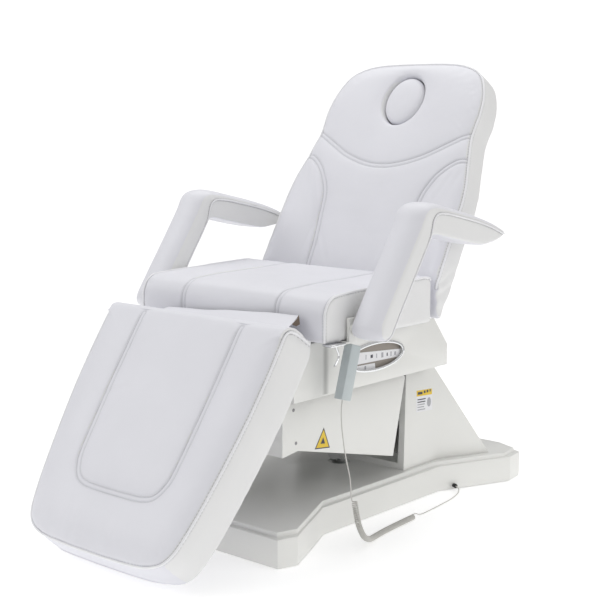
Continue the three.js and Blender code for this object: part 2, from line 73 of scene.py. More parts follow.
# ---------- camera, floor and light ----------
def make_camera():
    data = bpy.data.cameras.new("camera")
    data.sensor_width = 36
    data.lens = 76.38
    camera = bpy.data.objects.new("camera", data)
    camera.location = (2.1473, FRONT - 2.1989, 1.0333)
    camera.rotation_euler = (math.radians(81.55), 0, math.radians(41))
    bpy.context.scene.collection.objects.link(camera)
    bpy.context.scene.camera = camera


def add_area_light(name, place, aim, size, power, color=(1, 1, 1)):
    data = bpy.data.lights.new(name, "AREA")
    data.size = size
    data.energy = power
    data.color = color
    light = bpy.data.objects.new(name, data)
    light.location = place
    light.rotation_euler = (Vector(aim) - Vector(place)).to_track_quat("-Z", "Y").to_euler()
    bpy.context.scene.collection.objects.link(light)


def make_studio():
    world = bpy.data.worlds.new("studio")
    world.use_nodes = True
    tree = world.node_tree
    sky = tree.nodes["Background"]
    sky.inputs["Color"].default_value = (1, 1, 1, 1)
    sky.inputs["Strength"].default_value = 0.52
    # The wall behind the bed is lit apart from it, so it is brighter to the eye than as a light.
    wall = tree.nodes.new("ShaderNodeBackground")
    wall.inputs["Color"].default_value = (1, 1, 1, 1)
    wall.inputs["Strength"].default_value = 1.1
    rays = tree.nodes.new("ShaderNodeLightPath")
    mix = tree.nodes.new("ShaderNodeMixShader")
    tree.links.new(rays.outputs["Is Camera Ray"], mix.inputs["Fac"])
    tree.links.new(sky.outputs["Background"], mix.inputs[1])
    tree.links.new(wall.outputs["Background"], mix.inputs[2])
    tree.links.new(mix.outputs["Shader"], tree.nodes["World Output"].inputs["Surface"])
    bpy.context.scene.world = world
    bpy.context.scene.view_settings.view_transform = "Standard"
    middle = (0, 0, 0.6)
    add_area_light("top_light", (-0.5, 0.5, 3.6), middle, 3.6, 54)
    add_area_light("key_light", (-2.2, -2.6, 2.6), middle, 2.2, 28)
    add_area_light("side_light", (3.2, 1.2, 1.6), middle, 2.2, 22, (1, 0.99, 0.96))
    radius, sides = 2.3, 96
    rim = [(radius * x, radius * y, 0) for x, y in circle(sides)]
    floor = bpy.data.objects.new("floor", mesh_from("floor", rim, [tuple(range(sides))]))
    floor.location.z = -0.5 * MM
    bpy.context.scene.collection.objects.link(floor)
    floor.data.materials.append(MATERIALS["floor"])


# ---------- materials ----------
def new_material(name, color, roughness, metallic=0.0, **extra):
    material = bpy.data.materials.new(name)
    material.use_nodes = True
    shader = material.node_tree.nodes["Principled BSDF"]
    shader.inputs["Base Color"].default_value = (*color, 1)
    shader.inputs["Roughness"].default_value = roughness
    shader.inputs["Metallic"].default_value = metallic
    for key, value in extra.items():
        shader.inputs[key.replace("_", " ")].default_value = value
    return material, shader


def add_node(material, kind, **values):
    node = material.node_tree.nodes.new(kind)
    for key, value in values.items():
        node.inputs[key.replace("_", " ")].default_value = value
    return node


def coordinates(material):
    return add_node(material, "ShaderNodeTexCoord").outputs["Object"]


def add_texture(material, kind, **values):
    """A texture, or another node, that is fed with places on the piece."""
    texture = add_node(material, kind, **values)
    material.node_tree.links.new(coordinates(material), texture.inputs["Vector"])
    return texture


def add_bump(material, shader, height, strength, distance, under=None):
    bump = add_node(material, "ShaderNodeBump", Strength=strength, Distance=distance)
    material.node_tree.links.new(height, bump.inputs["Height"])
    if under:
        material.node_tree.links.new(under.outputs["Normal"], bump.inputs["Normal"])
    material.node_tree.links.new(bump.outputs["Normal"], shader.inputs["Normal"])
    return bump


def vary(material, shader, color, spread, scale):
    """Gives the base colour slow, slight changes in brightness over the surface."""
    links = material.node_tree.links
    texture = add_texture(material, "ShaderNodeTexNoise", Scale=scale, Detail=4.0)
    ramp = add_node(material, "ShaderNodeValToRGB")
    ramp.color_ramp.elements[0].position = 0.3
    ramp.color_ramp.elements[1].position = 0.7
    ramp.color_ramp.elements[0].color = (*[c * (1 - spread) for c in color], 1)
    ramp.color_ramp.elements[1].color = (*[min(1, c * (1 + spread)) for c in color], 1)
    links.new(texture.outputs["Fac"], ramp.inputs["Fac"])
    links.new(ramp.outputs["Color"], shader.inputs["Base Color"])


def vary_roughness(material, shader, low, high, scale):
    links = material.node_tree.links
    texture = add_texture(material, "ShaderNodeTexNoise", Scale=scale, Detail=3.0)
    spread = add_node(material, "ShaderNodeMapRange", To_Min=low, To_Max=high)
    links.new(texture.outputs["Fac"], spread.inputs["Value"])
    links.new(spread.outputs["Result"], shader.inputs["Roughness"])


def paint_crease_shade(material, shader):
    """Painted shade: darkens the base colour where the mesh's crease attribute is above 0, in seams and
    beside welts.
    """
    links = material.node_tree.links
    crease_shade = add_node(material, "ShaderNodeAttribute")
    crease_shade.attribute_name = "crease_shade"
    mix = add_node(material, "ShaderNodeMix")
    mix.data_type = "RGBA"
    mix.blend_type = "MULTIPLY"
    unshaded_color = shader.inputs["Base Color"].links[0].from_socket
    links.new(crease_shade.outputs["Fac"], mix.inputs["Factor"])
    # A Mix node's two colour inputs and its colour output share their names with its other kinds.
    color_a, color_b, color_out = mix.inputs[6], mix.inputs[7], mix.outputs[2]
    links.new(unshaded_color, color_a)
    # Full-strength painted shade multiplies the colour by this grey.
    color_b.default_value = (0.42, 0.42, 0.44, 1)
    links.new(color_out, shader.inputs["Base Color"])


def leatherette(name, color, roughness=0.42):
    """Soft satin vinyl: a pebbled grain over slow unevenness of the foam."""
    material, shader = new_material(name, color, roughness, Coat_Weight=0.06, Coat_Roughness=0.35)
    vary(material, shader, color, 0.012, 9)
    # Painted shade in the seams and beside the welts, from the mesh's crease attribute.
    paint_crease_shade(material, shader)
    vary_roughness(material, shader, roughness - 0.05, roughness + 0.07, 40)
    grain = add_texture(material, "ShaderNodeTexVoronoi", Scale=620.0)
    pores = add_bump(material, shader, grain.outputs["Distance"], 0.22, 0.0004)
    swell = add_texture(material, "ShaderNodeTexNoise", Scale=26.0, Detail=2.0)
    add_bump(material, shader, swell.outputs["Fac"], 0.16, 0.004, pores)
    return material


def moulding(name, color, roughness=0.33):
    """Moulded shell with the faint orange peel of a sprayed finish."""
    material, shader = new_material(name, color, roughness, Coat_Weight=0.15, Coat_Roughness=0.2)
    vary(material, shader, color, 0.01, 5)
    vary_roughness(material, shader, roughness - 0.04, roughness + 0.06, 60)
    peel = add_texture(material, "ShaderNodeTexNoise", Scale=240.0, Detail=2.0)
    add_bump(material, shader, peel.outputs["Fac"], 0.12, 0.0006)
    return material


def white_floor():
    """A lit white sweep: bright by itself, and still taking a faint shadow."""
    glow = {"Emission_Color": (1, 1, 1, 1), "Emission_Strength": 0.42}
    material, shader = new_material("floor", (0.85, 0.85, 0.85), 0.7, **glow)
    vary_roughness(material, shader, 0.65, 0.75, 4)
    return material


def fine_textured(name, color, roughness, metallic=0.0, scale=900.0, depth=0.0003, strength=0.25):
    material, shader = new_material(name, color, roughness, metallic)
    vary(material, shader, color, 0.03, 14)
    fine = add_texture(material, "ShaderNodeTexNoise", Scale=scale, Detail=3.0)
    add_bump(material, shader, fine.outputs["Fac"], strength, depth)
    return material


def polished_metal(name, color, low, high):
    material, shader = new_material(name, color, low, 1.0)
    vary_roughness(material, shader, low, high, 25)
    return material


def painted_groove_shade(name, color, middle=77, half=15):
    """A moulding colour with a shallow upright groove's shade painted on: it darkens softly towards the
    groove's middle.
    """
    material, shader = new_material(name, color, 0.36)
    links = material.node_tree.links
    split = add_texture(material, "ShaderNodeSeparateXYZ")
    place = middle * MM + FRONT
    fade = add_node(material, "ShaderNodeMapRange", From_Min=place - half * MM, From_Max=place + half * MM)
    links.new(split.outputs["Y"], fade.inputs["Value"])
    ramp = add_node(material, "ShaderNodeValToRGB")
    ramp.color_ramp.interpolation = "EASE"
    ramp.color_ramp.elements[0].color = (*color, 1)
    ramp.color_ramp.elements[1].color = (*color, 1)
    dark = ramp.color_ramp.elements.new(0.45)
    dark.color = (*[c * 0.62 for c in color], 1)
    links.new(fade.outputs["Result"], ramp.inputs["Fac"])
    links.new(ramp.outputs["Color"], shader.inputs["Base Color"])
    return material


UPHOLSTERY_COLOR = (0.77, 0.77, 0.815)
MOULDING_COLOR = (0.80, 0.80, 0.775)
MATERIALS = {
    "upholstery": leatherette("upholstery", UPHOLSTERY_COLOR),
    "side_upholstery": leatherette("side_upholstery", (0.80, 0.80, 0.80)),
    "piping": leatherette("piping", (0.86, 0.86, 0.88), 0.36),
    "thread": fine_textured("thread", (0.86, 0.86, 0.87), 0.6, scale=2400.0),
    "moulding": moulding("moulding", MOULDING_COLOR),
    "steel": fine_textured("steel", (0.58, 0.59, 0.58), 0.42, 0.15, 700.0),
    "chrome": polished_metal("chrome", (0.80, 0.81, 0.82), 0.07, 0.16),
    "rubber": fine_textured("rubber", (0.018, 0.018, 0.019), 0.7),
    "black_plastic": fine_textured("black_plastic", (0.022, 0.022, 0.024), 0.48),
    "board": fine_textured("board", (0.74, 0.74, 0.74), 0.6, scale=500.0),
    "handset_grey": fine_textured("handset_grey", (0.50, 0.55, 0.56), 0.34, strength=0.12),
    "key_grey": fine_textured("key_grey", (0.30, 0.33, 0.35), 0.5),
    "cord": fine_textured("cord", (0.62, 0.61, 0.58), 0.45, strength=0.1),
    "pale_label": fine_textured("pale_label", (0.82, 0.82, 0.84), 0.4, strength=0.05),
    "dark_mark": fine_textured("dark_mark", (0.06, 0.06, 0.08), 0.5, strength=0.05),
    "yellow_label": fine_textured("yellow_label", (0.80, 0.56, 0.04), 0.4, strength=0.05),
    "screw": polished_metal("screw", (0.30, 0.30, 0.31), 0.22, 0.34),
    "taupe": fine_textured("taupe", (0.30, 0.27, 0.24), 0.6),
    "grey_mark": fine_textured("grey_mark", (0.42, 0.42, 0.45), 0.5, strength=0.05),
    "lining": fine_textured("lining", (0.17, 0.13, 0.10), 0.8, scale=1400.0),
    # The shroud's upright groove, as shade painted on a flat decal.
    "groove": painted_groove_shade("groove", MOULDING_COLOR),
    "floor": white_floor(),
}


# ---------- mesh helpers ----------
def new_piece(name, mesh, material, body):
    piece = bpy.data.objects.new(name, mesh)
    bpy.context.scene.collection.objects.link(piece)
    mesh.materials.clear()
    mesh.materials.append(MATERIALS[material])
    if body:
        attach(piece, body)
    return piece


def mesh_from(name, points, faces):
    mesh = bpy.data.meshes.new(name)
    mesh.from_pydata([tuple(p) for p in points], [], faces)
    mesh.update()
    return mesh


def circle(sides):
    """The corners of a regular polygon of radius 1, from the first axis towards the second."""
    angles = [2 * math.pi * k / sides for k in range(sides)]
    return [(math.cos(angle), math.sin(angle)) for angle in angles]


def loft_faces(rings, count, capped=True):
    """Faces that join rings of count points each, one to the next, with a cap on each end."""
    faces = []
    for r in range(rings - 1):
        low, high = r * count, (r + 1) * count
        for i in range(count):
            j = (i + 1) % count
            faces.append((low + i, low + j, high + j, high + i))
    if capped:
        faces.append(tuple(reversed(range(count))))
        faces.append(tuple((rings - 1) * count + i for i in range(count)))
    return faces


def closed_mesh(name, points, faces):
    """A closed mesh with its faces pointing out and its many-sided faces cut into triangles."""
    mesh = mesh_from(name, points, faces)
    bm = bmesh.new()
    bm.from_mesh(mesh)
    bmesh.ops.recalc_face_normals(bm, faces=bm.faces)
    bmesh.ops.triangulate(bm, faces=[f for f in bm.faces if len(f.verts) > 4])
    bm.to_mesh(mesh)
    bm.free()
    return mesh


def plate_mesh(name, front, back):
    """A thin closed plate between two matching outlines."""
    count = len(front)
    faces = [tuple(range(count)), tuple(range(count, 2 * count))]
    faces += [(i, (i + 1) % count, count + (i + 1) % count, count + i) for i in range(count)]
    return closed_mesh(name, front + back, faces)


def shade(mesh, angle):
    mesh.shade_smooth()
    mesh.set_sharp_from_angle(angle=math.radians(angle))


def apply_modifiers(piece):
    """Bakes a piece's modifiers into its mesh."""
    graph = bpy.context.evaluated_depsgraph_get()
    mesh = bpy.data.meshes.new_from_object(piece.evaluated_get(graph))
    old = piece.data
    piece.modifiers.clear()
    piece.data = mesh
    bpy.data.meshes.remove(old)
    return mesh


def curve_point(a, b, c, d, t):
    """A point of the Catmull-Rom curve between b and c."""
    return 0.5 * (2 * b + (c - a) * t + (2 * a - 5 * b + 4 * c - d) * t * t
                  + (3 * b - a - 3 * c + d) * t ** 3)


def smooth_line(points, step):
    """Points every step along a Catmull-Rom line through the given points."""
    points = [Vector(p) for p in points]
    padded = [2 * points[0] - points[1], *points, 2 * points[-1] - points[-2]]
    line = []
    for i in range(1, len(padded) - 2):
        a, b, c, d = padded[i - 1:i + 3]
        count = max(2, round((c - b).length / step))
        line += [curve_point(a, b, c, d, k / count) for k in range(count)]
    line.append(points[-1])
    return line


def tube_mesh(name, line, radius, sides):
    """A tube along a line, carried along without twist and closed flat at both ends."""
    count = len(line)
    tangents = [(line[min(i + 1, count - 1)] - line[max(i - 1, 0)]).normalized() for i in range(count)]
    normal = tangents[0].orthogonal().normalized()
    points = []
    for centre, tangent in zip(line, tangents):
        normal = (normal - tangent * normal.dot(tangent)).normalized()
        across = tangent.cross(normal)
        points += [centre + radius * (x * normal + y * across) for x, y in circle(sides)]
    mesh = mesh_from(name, points, loft_faces(count, sides))
    shade(mesh, 60)
    return mesh


def softened(node, material, radius, segments=3, whole_underside=True):
    """A rigid piece with its edges rounded over, in place of its faceted solid."""
    source = frame["nodes"][node]
    bm = bmesh.new()
    bm.from_mesh(source.data)
    bm.transform(source.matrix_world)
    bmesh.ops.remove_doubles(bm, verts=bm.verts, dist=1e-6)
    joined = [e for e in bm.edges if whole_underside or any(f.normal.z > -0.9 for f in e.link_faces)]
    bmesh.ops.dissolve_limit(bm, angle_limit=math.radians(1), verts=bm.verts, edges=joined)
    limit = math.radians(SHARP_ANGLE)
    sharp = [e for e in bm.edges if len(e.link_faces) == 2 and e.calc_face_angle(0) > limit]
    bmesh.ops.bevel(
        bm, geom=sharp, offset=radius, segments=segments, profile=0.5, affect="EDGES", clamp_overlap=True)
    bmesh.ops.triangulate(bm, faces=[f for f in bm.faces if len(f.verts) > 4])
    mesh = bpy.data.meshes.new(f"{node}_finish")
    bm.to_mesh(mesh)
    bm.free()
    shade(mesh, SHARP_ANGLE)
    piece = new_piece(f"{node}_finish", mesh, material, BODY_OF[node])
    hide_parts(node)
    return piece


# ---------- cords ----------
def chair(x, y, z):
    """A place given from the seat's front edge and the floor, in millimetres."""
    return Vector((x * MM, y * MM + FRONT, z * MM))


CORD_RADIUS = 1.5 * MM
HELIX_RADIUS = 6.0 * MM
LEAD_ROUTE = [chair(*p) for p in [
    (310, 66, 363.6), (310.5, 62, 340), (313, 61, 300), (319, 65, 240), (331, 69, 180), (343, 70, 136),
]]
COIL_ROUTE = [chair(*p) for p in [
    (343.1, 70, 135.6), (349, 69, 108), (353, 76, 68), (350, 100, 32), (340, 135, 13.5), (328, 178, 8.6),
    (320, 230, 8.1), (314, 300, 8.1), (309, 368, 8.1),
]]
TAIL_ROUTE = [chair(*p) for p in [
    (309, 368.5, 8.1), (306, 390, 5.4), (301, 430, 2.4), (294, 500, 2.2), (285, 565, 2.2), (274, 612, 5),
    (259.8, 634.7, 10.6), (247.9, 640, 12),
]]


def line_length(line):
    return sum((b - a).length for a, b in zip(line, line[1:]))


def helix_along(route, radius, pitch, per_turn=16):
    """A curly cord round its route. At each end it runs straight, then bends gently into its turns."""
    core = smooth_line(route, 1.5 * MM)
    length = line_length(core)
    places = np.array([0, *np.cumsum([(b - a).length for a, b in zip(core, core[1:])])])
    table = np.array(core)
    steepest = math.atan2(2 * math.pi * radius, pitch)
    ease = 22 * MM
    step = 2 * math.pi * radius / per_turn

    def steepness(run):
        share = min(1, max(0, run / ease))
        return steepest * share * share * (3 - 2 * share)

    climb = [0.0]
    while climb[-1] < length / 2:
        climb.append(climb[-1] + step * math.cos(steepness(len(climb) * step)))
    half = len(climb)
    slopes = [steepness(k * step) for k in range(half)]
    along = np.interp(climb, [0, climb[-1]], [0, length / 2])
    stations = [*along, *(length - along[::-1][1:])]
    slopes = [*slopes, *slopes[::-1][1:]]
    normal = (core[1] - core[0]).orthogonal().normalized()
    angle = 0.0
    line = []
    for s, slope in zip(stations, slopes):
        centre = Vector([np.interp(s, places, table[:, k]) for k in range(3)])
        ahead = Vector([np.interp(min(s + pitch, length), places, table[:, k]) for k in range(3)])
        behind = Vector([np.interp(max(s - pitch, 0), places, table[:, k]) for k in range(3)])
        tangent = (ahead - behind).normalized()
        normal = (normal - tangent * normal.dot(tangent)).normalized()
        across = tangent.cross(normal)
        line.append(centre + radius * (math.cos(angle) * normal + math.sin(angle) * across))
        angle += step * math.sin(slope) / radius
    return line


def make_cords():
    coil = helix_along(COIL_ROUTE, HELIX_RADIUS, 4.4 * MM)
    lead = smooth_line([*LEAD_ROUTE[:-1], coil[0] + (LEAD_ROUTE[-1] - COIL_ROUTE[0])], 6 * MM)
    piece = new_piece("handset_lead_cord", tube_mesh("lead", lead, CORD_RADIUS, 8), "cord", None)
    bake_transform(piece)
    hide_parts("handset_lead")

    tail = smooth_line([coil[-1], *TAIL_ROUTE[1:]], 6 * MM)
    whole = [*coil[:-1], *tail[1:]]
    piece = new_piece("curly_cord", tube_mesh("curly_cord", whole, CORD_RADIUS, 8), "cord", None)
    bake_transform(piece)
    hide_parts("handset_coil", "handset_tail")


make_camera()
make_cords()


# ---------- upholstery ----------
class Panel:
    """A sloping panel's own axes: u across, v up its face, n out of its face."""

    def __init__(self, y, z, slope):
        angle = math.radians(slope)
        self.matrix = Matrix((
            (1, 0, 0, 0),
            (0, math.cos(angle), -math.sin(angle), y * MM + FRONT),
            (0, math.sin(angle), math.cos(angle), z * MM),
            (0, 0, 0, 1),
        ))
        self.inverse = self.matrix.inverted()
        self.out = self.matrix.to_3x3() @ Vector((0, 0, 1))

    def place(self, u, v, n=0.0):
        return self.matrix @ Vector((u * MM, v * MM, n * MM))


SEAT_TOP = 625
BACK = Panel(440, 600, 60)
LEG = Panel(-125, 547, 55.5)
SEAT = Panel(0, SEAT_TOP, 0)


def rounded_outline(points, step):
    """A closed smooth outline through half-width points (u, v), mirrored about u = 0, in millimetres."""
    half = [Vector((u, v, 0)) for u, v in points]
    whole = half + [Vector((-p.x, p.y, 0)) for p in reversed(half)]
    if half[-1].y < half[0].y:
        whole.reverse()
    line = []
    count = len(whole)
    for i in range(count):
        a, b, c, d = (whole[(i + k) % count] for k in (-1, 0, 1, 2))
        pieces = max(1, round((c - b).length / step))
        line += [curve_point(a, b, c, d, k / pieces) for k in range(pieces)]
    return line


def inset(line, distance, closed=True):
    """A flat line moved to its left by a distance. A closed outline runs so that this moves it in."""
    count = len(line)
    moved = []
    for i, point in enumerate(line):
        ahead = line[(i + 1) % count if closed else min(i + 1, count - 1)]
        behind = line[i - 1 if closed else max(i - 1, 0)]
        tangent = (ahead - behind).normalized()
        moved.append(point + Vector((-tangent.y, tangent.x, 0)) * distance)
    return moved


def ring_solid(name, outline, profile):
    """A closed solid from an outline and a profile of (inset, n) pairs, from its back to its face."""
    points = [Vector((p.x, p.y, n)) * MM for distance, n in profile for p in inset(outline, distance)]
    return closed_mesh(name, points, loft_faces(len(profile), len(outline)))


def remeshed(piece, voxel):
    modifier = piece.modifiers.new("remesh", "REMESH")
    modifier.mode = "VOXEL"
    modifier.voxel_size = voxel * 1
    modifier.adaptivity = 0
    modifier.use_smooth_shade = True
    apply_modifiers(piece)


def read_points(mesh):
    flat = np.empty(len(mesh.vertices) * 3)
    mesh.vertices.foreach_get("co", flat)
    return flat.reshape(-1, 3)


def write_points(mesh, points):
    mesh.vertices.foreach_set("co", points.ravel())
    mesh.update()


def read_normals(mesh):
    flat = np.empty(len(mesh.vertices) * 3)
    mesh.vertices.foreach_get("normal", flat)
    return flat.reshape(-1, 3)


def distance_to_line(points, line):
    """Distance from each of many 2-D points to a line of 2-D points."""
    line = np.array([(p[0], p[1]) for p in line])
    best = np.full(len(points), np.inf)
    for a, b in zip(line, line[1:]):
        along = b - a
        t = np.clip(((points - a) @ along) / max(along @ along, 1e-12), 0, 1)
        gap = points - (a + t[:, None] * along)
        best = np.minimum(best, np.hypot(gap[:, 0], gap[:, 1]))
    return best


# The cover's mesh size, and how far filling may push it out.
VOXEL = 5 * MM
PUFF_CAP = 15 * MM


def puff(piece, pinned, cap=PUFF_CAP, pressure=4.0, frames=20):
    """Blows the cover up as cloth, holds it by the pinned weights, and caps how far a point moves."""
    mesh = piece.data
    rest = read_points(mesh)
    group = piece.vertex_groups.new(name="held")
    for level in np.unique(np.round(pinned, 2)):
        if level > 0:
            members = np.nonzero(np.round(pinned, 2) == level)[0].tolist()
            group.add(members, float(level), "REPLACE")
    cloth = piece.modifiers.new("cloth", "CLOTH")
    settings = cloth.settings
    settings.quality = 4
    settings.mass = 0.25
    settings.tension_stiffness = 22
    settings.compression_stiffness = 22
    settings.shear_stiffness = 8
    settings.bending_stiffness = 0.8
    settings.use_pressure = True
    settings.uniform_pressure_force = pressure
    settings.vertex_group_mass = "held"
    settings.pin_stiffness = 1.0
    settings.effector_weights.gravity = 0
    cloth.collision_settings.use_collision = False
    cloth.point_cache.frame_start = 1
    cloth.point_cache.frame_end = frames
    scene = bpy.context.scene
    for number in range(1, frames + 1):
        scene.frame_set(number)
    mesh = apply_modifiers(piece)
    scene.frame_set(1)
    moved = read_points(mesh) - rest
    size = np.linalg.norm(moved, axis=1)
    share = np.minimum(1, cap / np.maximum(size, 1e-9))
    write_points(mesh, rest + moved * share[:, None])


def relax(piece, rounds):
    modifier = piece.modifiers.new("relax", "SMOOTH")
    modifier.factor = 0.5
    modifier.iterations = rounds
    apply_modifiers(piece)


def subdivide(piece):
    modifier = piece.modifiers.new("subdivide", "SUBSURF")
    modifier.levels = 1
    modifier.render_levels = 1
    apply_modifiers(piece)


def noise_at(points, scale, seed):
    """Smooth noise between about -1 and 1 at each of many points."""
    shift = Vector((seed * 13.7, seed * 7.3, seed * 3.1))
    return np.array([noise.noise(Vector(p) * scale + shift) for p in points])


# A double seam's half width, how far from its middle its stitches run, and the strength of the shade painted
# in it.
SEAM_HALF = 5.5 * MM
STITCH_LINE = SEAM_HALF + 2.2 * MM
SEAM_SHADE = 0.38


def seam_shape(gap):
    """How deep a double seam pulls the cover in and how much shade is painted on it, by distance from its
    middle.
    """
    groove = np.exp(-((gap - SEAM_HALF) / (2.8 * MM)) ** 2)
    valley = np.exp(-(gap / (18 * MM)) ** 2)
    line = np.exp(-((gap - SEAM_HALF) / (1.7 * MM)) ** 2)
    return 2.4 * MM * groove + 2.2 * MM * valley, line


def keep_crease_shade(mesh, crease_shade):
    # Stores each point's strength of painted shade.
    attribute = mesh.attributes.new("crease_shade", "FLOAT", "POINT")
    attribute.data.foreach_set("value", np.clip(crease_shade, 0, 1).astype(np.float32))


def stitch_mesh(name, runs, spacing=5.2 * MM, length=3.6 * MM, radius=0.45 * MM):
    """Thread along each run of (place, out) pairs, as separate slightly raised stitches."""
    points, faces = [], []
    sides = 6
    # A stitch's rings: how far along it each lies, its share of the thread's radius, and how deep it sinks.
    rings = ((-0.5, 0.35, 0.5 * MM), (-0.3, 1.0, 0), (0.3, 1.0, 0), (0.5, 0.35, 0.5 * MM))
    pattern = loft_faces(len(rings), sides)
    for run in runs:
        travelled = 0.0
        following = spacing
        for (a, out_a), (b, _) in zip(run, run[1:]):
            step = (b - a).length
            while step > 1e-9 and travelled + step >= following:
                centre = a.lerp(b, (following - travelled) / step) + out_a * 0.35 * MM
                along = (b - a).normalized()
                across = along.cross(out_a).normalized()
                first = len(points)
                for place, size, sink in rings:
                    middle = centre + along * place * length - out_a * sink
                    for x, y in circle(sides):
                        points.append(middle + (x * out_a * 0.7 + y * across) * radius * size)
                faces += [tuple(first + corner for corner in face) for face in pattern]
                following += spacing
            travelled += step
    mesh = mesh_from(name, points, faces)
    shade(mesh, 70)
    return mesh


def surface_of(piece):
    return BVHTree.FromPolygons(
        [v.co.copy() for v in piece.data.vertices], [tuple(p.vertices) for p in piece.data.polygons])


def drop_onto(surface, matrix, line, height=0.08):
    """Where each flat point of a panel meets the cover's surface, with the surface's normal."""
    out = matrix.to_3x3() @ Vector((0, 0, 1))
    run = []
    for point in line:
        start = matrix @ Vector((point.x, point.y, height))
        place, normal, _, _ = surface.ray_cast(start, -out)
        if place is not None:
            run.append((place, normal))
    return run


def add_stitches(name, surface, matrix, lines, body):
    runs = []
    for line in lines:
        for side in (-1, 1):
            runs.append(drop_onto(surface, matrix, inset(line, side * STITCH_LINE, closed=False)))
    new_piece(name, stitch_mesh(name, runs), "thread", body)


def add_piping(name, surface, line, radius, body):
    """A welt cord laid on the cover's edge."""
    laid = []
    for point in line:
        place, normal, _, _ = surface.find_nearest(point)
        laid.append(place + normal * radius * 0.4)
    eased = []
    for i, point in enumerate(laid):
        ahead = laid[min(i + 1, len(laid) - 1)]
        behind = laid[max(i - 1, 0)]
        eased.append((behind + 2 * point + ahead) / 4)
    return new_piece(name, tube_mesh(name, eased, radius, 10), "piping", body)


# The welt cords' radii on the cushions and on the armrests, and how dark the shade painted beside them is.
WELT_RADIUS = 3.0 * MM
ARM_WELT_RADIUS = 2.2 * MM
WELT_SHADE = 0.75


def press_beside(piece, pipings):
    """Pulls the cover in, and paints shade on it, along both sides of each welt cord."""
    mesh = piece.data
    places = [v.co for piping in pipings for v in piping.data.vertices]
    tree = KDTree(len(places))
    for i, place in enumerate(places):
        tree.insert(place, i)
    tree.balance()
    points = read_points(mesh)
    normals = read_normals(mesh)
    gap = np.array([tree.find(Vector(p))[2] for p in points])
    near = np.exp(-(gap / (2.2 * MM)) ** 2)
    points -= normals * (1.5 * MM * near)[:, None]
    write_points(mesh, points)
    if "crease_shade" in mesh.attributes:
        before = np.empty(len(points), np.float32)
        mesh.attributes["crease_shade"].data.foreach_get("value", before)
        mesh.attributes.remove(mesh.attributes["crease_shade"])
    else:
        before = np.zeros(len(points), np.float32)
    # Painted shade beside the welt cords, kept with any seam shade already there.
    keep_crease_shade(mesh, np.maximum(before, WELT_SHADE * near))


def millimetres(points):
    return [Vector((u, v, 0)) * MM for u, v in points]


def mirrored(points):
    return [(-u, v) for u, v in points]


def declare_padded(piece, body, nodes):
    """Says what a finished cover rides on and which CAD nodes it replaces."""
    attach(piece, body)
    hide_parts(*nodes)


def finish_cover(piece, panel, seams, wrinkles, body, nodes):
    """Presses the seams and wrinkles into a puffed cover, and moves it to its place."""
    subdivide(piece)
    mesh = piece.data
    points = read_points(mesh)
    normals = read_normals(mesh)
    facing = np.clip((normals[:, 2] - 0.25) / 0.5, 0, 1)
    gap = np.min([distance_to_line(points[:, :2], seam) for seam in seams], axis=0)
    push, crease_shade = seam_shape(gap)
    points += normals * (wrinkles(points, normals) - push * facing)[:, None]
    write_points(mesh, points)
    # The seams' painted shade, on the panel's face.
    keep_crease_shade(mesh, SEAM_SHADE * crease_shade * facing)
    mesh.transform(panel.matrix)
    shade(mesh, 60)
    declare_padded(piece, body, nodes)


def from_widest_gap(rim):
    """The points of a rim, started just past its widest gap, so that the gap is left open."""
    start = max(range(len(rim)), key=lambda i: (rim[i] - rim[i - 1]).length)
    return rim[start:] + rim[:start]


def soft_start(name, mesh, voxel=VOXEL):
    piece = bpy.data.objects.new(name, mesh)
    bpy.context.scene.collection.objects.link(piece)
    remeshed(piece, voxel)
    relax(piece, 6)
    piece.data.materials.clear()
    piece.data.materials.append(MATERIALS["upholstery"])
    return piece


def make_two_tone(piece, lean=0.62):
    """The faces that point sideways are cut from a whiter vinyl."""
    mesh = piece.data
    mesh.materials.append(MATERIALS["side_upholstery"])
    for face in mesh.polygons:
        face.material_index = 1 if abs(face.normal.x) > lean else 0


# Half outlines and seams are (u, v) on the panel's face, in millimetres.
BACK_OUTLINE = [
    (270, -69), (296, -68), (305, -58), (307, -20), (308, 60), (303, 250), (284, 345), (266, 430), (268, 500),
    (258, 562), (226, 622), (165, 652), (80, 661),
]
HEAD_SEAM_HALF = [(-272, 438), (-190, 392), (-130, 360), (-60, 337), (0, 330)]
BACK_SIDE_SEAM = [
    (286, 352), (277, 357), (243, 345), (210, 318), (185, 285), (165, 240), (158, 170), (150, 100),
    (150, 20),
]
FACE_HOLE_V = 538
FACE_HOLE_HALF = (64, 76)
PLUG_CLEARANCE = 2.5


def face_oval(sides, clearance=0.0):
    """The face hole's oval on the backrest's face, moved in by a clearance."""
    half_u, half_v = FACE_HOLE_HALF
    return [Vector(((half_u - clearance) * x, FACE_HOLE_V + (half_v - clearance) * y, 0))
            for x, y in circle(sides)]


def slope_foot(points, lowest=23 * MM):
    """The foot of the backrest slopes back under the face, clear of the seat."""
    slant = (lowest - points[:, 1]) * 0.62
    points[:, 2] = np.where(slant > 0, np.minimum(points[:, 2], -slant), points[:, 2])


